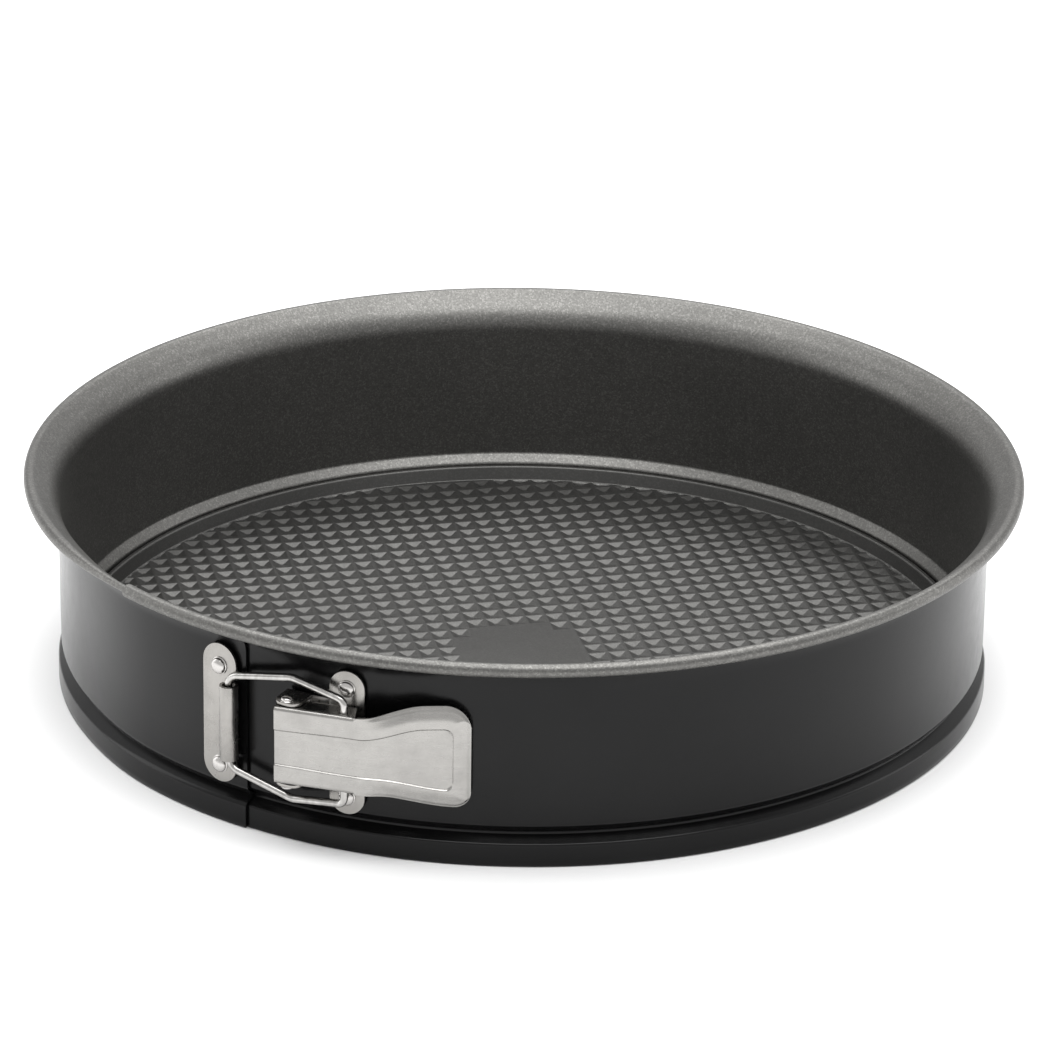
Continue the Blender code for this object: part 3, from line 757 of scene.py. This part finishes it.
def lever_half(s, sign):
    """Half the lever's width at s, above its middle or below."""
    if sign > 0:
        half, corner = CHANNEL_HALF + (HANDLE_HALF - CHANNEL_HALF) * ease((s - 26.0) / 19.0), TOP_CORNER
    else:
        half, corner = CHANNEL_HALF + (HANDLE_HALF - 0.3 - CHANNEL_HALF) * ease((s - 31.0) / 23.0), LOW_CORNER
    over = s - (LEVER_TOTAL - corner)
    if over > 0:
        half -= corner - math.sqrt(max(0.0, corner**2 - over * over))
    return half


def panel_half(s, sign):
    """The sunk panel's half width: it keeps nearly the same distance from the edge all along."""
    if sign > 0:
        return 4.7 + 0.6 * ease(s / 24.0) + 3.7 * ease((s - 26.0) / 19.0)
    return 6.0 + 0.4 * ease(s / 24.0) + 3.6 * ease((s - 31.0) / 23.0)


def lever_piece():
    stations = [1.1 + k * 0.4 for k in range(int((LEVER_TOTAL - 9.0) / 0.4))]
    first = stations[-1]
    stations += [first + (LEVER_TOTAL - 0.5 - first) * k / 40 for k in range(1, 40)]
    stations += [LEVER_TOTAL - 0.5 + 0.5 * math.sin(math.pi / 2 * k / 8) for k in range(9)]
    bm = bmesh.new()
    rows = []
    for s in stations:
        point, inward = lever_plan(s)
        fold = 1.25
        deep = FLANGE_DEPTH * (1.0 - ease((s - 23.2) / 2.4))
        # flat width up to the fold, then the fold's arc, then the flange
        flange = max(0.0, deep - fold)
        share_fold = ease((deep - 0.1) / 1.6)
        line = []
        for sign in (-1, 1):
            half, panel = lever_half(s, sign), panel_half(s, sign)
            flat = half - fold * share_fold
            edge_out = min(panel + 0.45, 0.88 * flat)
            edge_in = edge_out - 1.0
            path = [(edge_in * k / 16, 0.0) for k in range(16)]
            path += [(edge_in + (edge_out - edge_in) * k / 10, 0.0) for k in range(10)]
            path += [(edge_out + (flat - edge_out) * k / 22, 0.0) for k in range(23)]
            path += [(flat + fold * math.sin(math.pi / 2 * k / 8) * share_fold, fold * (1 - math.cos(math.pi / 2 * k / 8)) * share_fold) for k in range(1, 9)]
            path += [(flat + fold * share_fold, fold * share_fold + flange * k / 8) for k in range(1, 9)]
            part = []
            for z, depth in path:
                d = depth
                if depth == 0.0:
                    # sunk panel with a soft step, and handle margins that fall away to the wall
                    inside = min(panel - z, LEVER_TOTAL - 4.9 - s)
                    corner_x, corner_z = s - (LEVER_TOTAL - 7.5), z - (panel - 2.6)
                    if corner_x > 0 and corner_z > 0:
                        inside = min(inside, 2.6 - math.hypot(corner_x, corner_z))
                    d += 0.5 * ease((inside + 0.3) / 0.6)
                    handle = ease((s - 25.0) / 12.0)
                    margin = min(half - z, LEVER_TOTAL - s)
                    d += handle * (0.9 * (1.0 - ease(margin / 4.8)) + 0.55 * (1.0 - ease(margin / 1.3)))
                part.append((sign * z, d))
            line.append(part)
        full = line[0][::-1] + line[1][1:]
        rows.append([bm.verts.new((point.x + inward.x * d, point.y + inward.y * d, MID_Z + z)) for z, d in full])
    grid_faces(bm, rows)
    bmesh.ops.remove_doubles(bm, verts=bm.verts, dist=0.01)
    bmesh.ops.recalc_face_normals(bm, faces=bm.faces)
    mid = max(bm.faces, key=lambda f: -f.calc_center_median().y)
    if mid.normal.y > 0:
        for face in bm.faces:
            face.normal_flip()
    for vertex in bm.verts:
        vertex.co = vertex.co * MM
    mesh = bpy.data.meshes.new("lever_sheet")
    bm.to_mesh(mesh)
    bm.free()
    mesh.materials.append(LEVER_STEEL)
    obj = bpy.data.objects.new("lever_sheet", mesh)
    bpy.context.scene.collection.objects.link(obj)
    thick = obj.modifiers.new("thickness", "SOLIDIFY")
    thick.thickness, thick.offset, thick.use_even_offset = LEVER_T * MM, -1.0, True
    apply_all(obj)
    for sign in (1, -1):
        # the wire's end turns in a hole in each flange
        hole = finish_mesh("wire_hole_part", lathe([(0.0, -3.0), (1.35, -3.0), (1.35, 3.0), (0.0, 3.0)], 28, Matrix.Translation(Vector((*WIRE_END, MID_Z + sign * 11.6)))), [LEVER_STEEL])
        cut = obj.modifiers.new("hole", "BOOLEAN")
        cut.operation, cut.solver, cut.object = "DIFFERENCE", "EXACT", hole
        apply_all(obj)
        bpy.data.objects.remove(hole, do_unlink=True)
    bevel(obj, 0.2, 2, 50.0)
    apply_all(obj, 40.0)
    return obj


lever = lever_piece()


# ------------------------------------------------------------------ rivets
def dome(name, radius, height, shank, grip, foot_r, foot_h, matrix, gap=0.05):
    profile = [(0.0, height)]
    for k in range(1, 13):
        b = math.pi / 2 * k / 12
        profile.append((radius * math.sin(b), gap + 0.5 + (height - gap - 0.5) * math.cos(b)))
    profile += [(radius, gap + 0.3), (radius + 0.22, gap + 0.22), (radius + 0.3, gap + 0.1), (radius + 0.25, gap), (shank, gap)]
    if foot_r:
        profile += [(shank, -grip), (foot_r, -grip), (foot_r + 0.05, -grip - 0.15), (foot_r - 0.15, -grip - foot_h), (0.0, -grip - foot_h)]
    else:
        profile += [(shank, -grip), (0.0, -grip)]
    return finish_mesh(name, lathe(profile, 40, matrix), [RIVET_STEEL], 50.0)


pieces = []
for side, z in (("upper", 49.2), ("lower", 18.4)):
    spot = radial_frame(CATCH_AZ, CATCH_R + PLATE_T, z)
    pieces.append((dome("catch_rivet_head_" + side, 2.4, 1.75, 1.2, 1.7, 0, 0, spot), "ring_left", "catch_rivet_" + side))
for side, z in (("upper", MID_Z + LOBE_Z), ("lower", MID_Z - LOBE_Z)):
    spot = radial_frame(LOBE_AZ, HINGE_R + PLATE_T, z)
    pieces.append((dome("hinge_rivet_head_" + side, 2.35, 1.5, 1.2, 2.3, 2.2, 0.5, spot), "ring_right", "hinge_plate_rivet_" + side))
for side, sign in (("upper", 1.0), ("lower", -1.0)):
    turn = Matrix.Identity(4) if sign > 0 else Matrix.Rotation(math.pi, 4, "X")
    spot = Matrix.Translation(Vector((*PIVOT, MID_Z + sign * EAR_OUT))) @ turn
    pieces.append((dome("pivot_rivet_head_" + side, 1.85, 1.35, 1.1, 2.3, 1.9, 0.6, spot), "ring_right", "pivot_rivet_" + side))


# ------------------------------------------------------------------ riding
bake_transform(band_left)
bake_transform(band_right)
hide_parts("band_left", "band_back")
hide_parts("band_right")
for obj, body, cad, slot in (
    (base_pan, "base", "base_plate", "nonstick_base"),
    (catch, "ring_left", "catch_plate", "satin_steel"),
    (wire, "bail", "wire_bail", "wire_steel"),
    (hinge, "ring_right", "hinge_plate", "satin_steel"),
    (lever, "lever_arm", "lever", "lever_steel"),
    *[(o, b, c, "rivet_steel") for o, b, c in pieces],
):
    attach(obj, body)
    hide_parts(cad)


# ------------------------------------------------------------------ floor and light
def floor():
    mat, tree, shader = new_material("studio_floor")
    grey = noise(tree, coords(tree, (1, 1, 1)), 1.5, 2.0)
    tree.links.new(ramp(tree, grey, [(0.0, (0.86, 0.86, 0.86)), (1.0, (0.9, 0.9, 0.9))]), shader.inputs["Base Color"])
    shader.inputs["Roughness"].default_value = 0.9
    shader.inputs["Specular IOR Level"].default_value = 0.1
    mesh = bpy.data.meshes.new("studio_floor")
    mesh.from_pydata([(-8, -8, -0.0003), (8, -8, -0.0003), (8, 8, -0.0003), (-8, 8, -0.0003)], [], [(0, 1, 2, 3)])
    mesh.materials.append(mat)
    obj = bpy.data.objects.new("studio_floor", mesh)
    bpy.context.scene.collection.objects.link(obj)


def area(name, azimuth, elevation, distance, size, power, aim=(0, 0, 0.03)):
    """A soft box at an azimuth measured from the viewer's side, facing the pan."""
    turn = math.radians(azimuth + 33.7 - 90.0)
    e = math.radians(elevation)
    place = Vector((math.cos(turn) * math.cos(e), math.sin(turn) * math.cos(e), math.sin(e))) * distance
    data = bpy.data.lights.new(name, "AREA")
    data.shape, data.size, data.size_y, data.energy = "RECTANGLE", size[0], size[1], power
    obj = bpy.data.objects.new(name, data)
    obj.location = place
    obj.rotation_euler = (Vector(aim) - place).to_track_quat("-Z", "Y").to_euler()
    bpy.context.scene.collection.objects.link(obj)


floor()
area("soft_top", 180, 66, 1.5, (1.7, 1.2), 22.0)
area("soft_front", 8, 72, 1.6, (1.5, 0.9), 18.0)
area("soft_left", -100, 22, 1.3, (0.6, 0.9), 3.0)
area("soft_right", 100, 22, 1.3, (0.6, 0.9), 3.0)
world = bpy.data.worlds.new("studio")
world.use_nodes = True
world.node_tree.nodes["Background"].inputs["Color"].default_value = (1.0, 1.0, 1.0, 1.0)
world.node_tree.nodes["Background"].inputs["Strength"].default_value = 0.85
bpy.context.scene.world = world
bpy.context.scene.view_settings.view_transform = "Standard"
